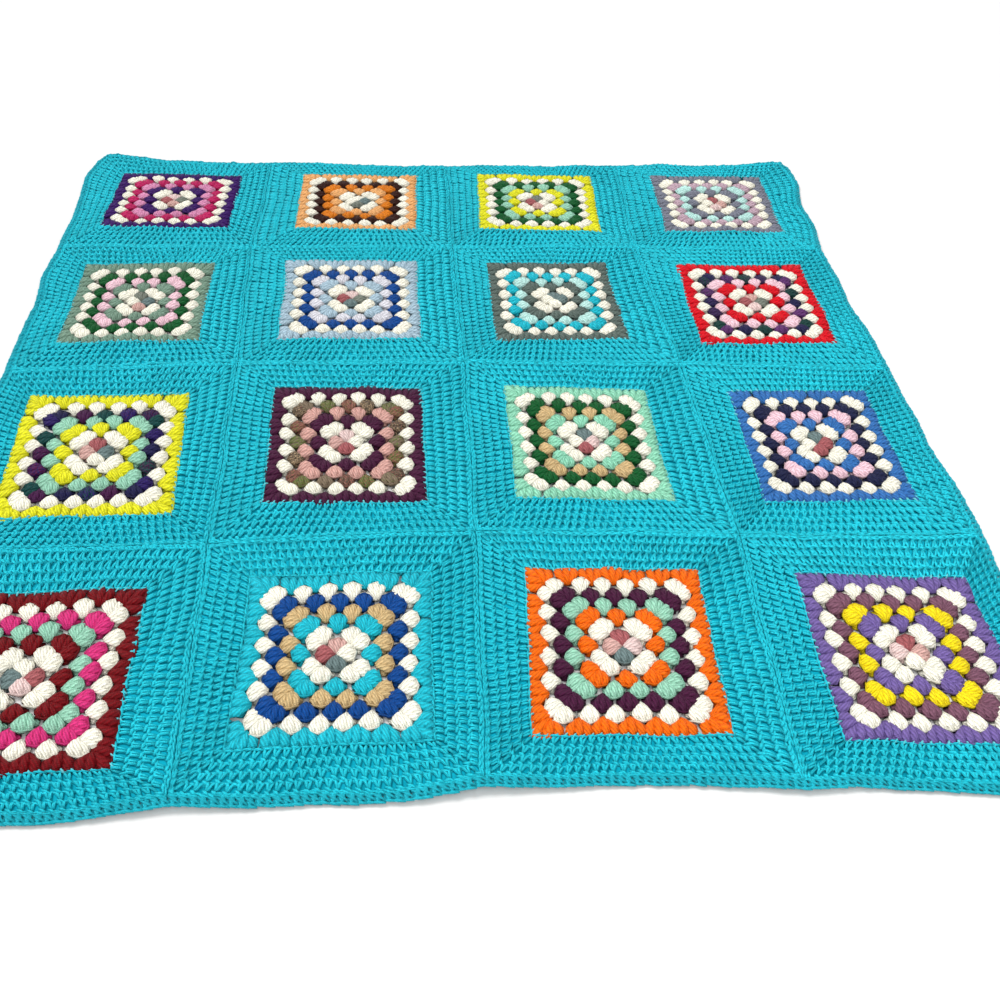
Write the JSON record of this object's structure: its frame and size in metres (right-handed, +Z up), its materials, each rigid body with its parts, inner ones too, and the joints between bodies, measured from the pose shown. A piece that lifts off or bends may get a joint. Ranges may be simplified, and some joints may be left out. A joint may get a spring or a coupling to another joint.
{
  "type": "granny square blanket",
  "caption": "Flat crocheted blanket of joined granny squares, each a multicoloured motif in a turquoise surround, with a narrow crocheted edging.",
  "frame": {"origin": "centre of the bounding box, on the surface that the blanket lies on", "axes": "+Z up, +X across the blanket to the right, +Y along its length, away from the near edge"},
  "size_m": [1.0966, 1.1676, 0.01],
  "materials": {
    "square_yarn": "matt worsted acrylic yarn, crocheted",
    "edging_yarn": "matt worsted acrylic yarn, crocheted"
  },
  "bodies": {
    "root": {"square_1_1": "square_yarn", "square_1_2": "square_yarn", "square_1_3": "square_yarn", "square_1_4": "square_yarn", "square_2_1": "square_yarn", "square_2_2": "square_yarn", "square_2_3": "square_yarn", "square_2_4": "square_yarn", "square_3_1": "square_yarn", "square_3_2": "square_yarn", "square_3_3": "square_yarn", "square_3_4": "square_yarn", "square_4_1": "square_yarn", "square_4_2": "square_yarn", "square_4_3": "square_yarn", "square_4_4": "square_yarn", "edging": "edging_yarn"}
  },
  "joints": []
}
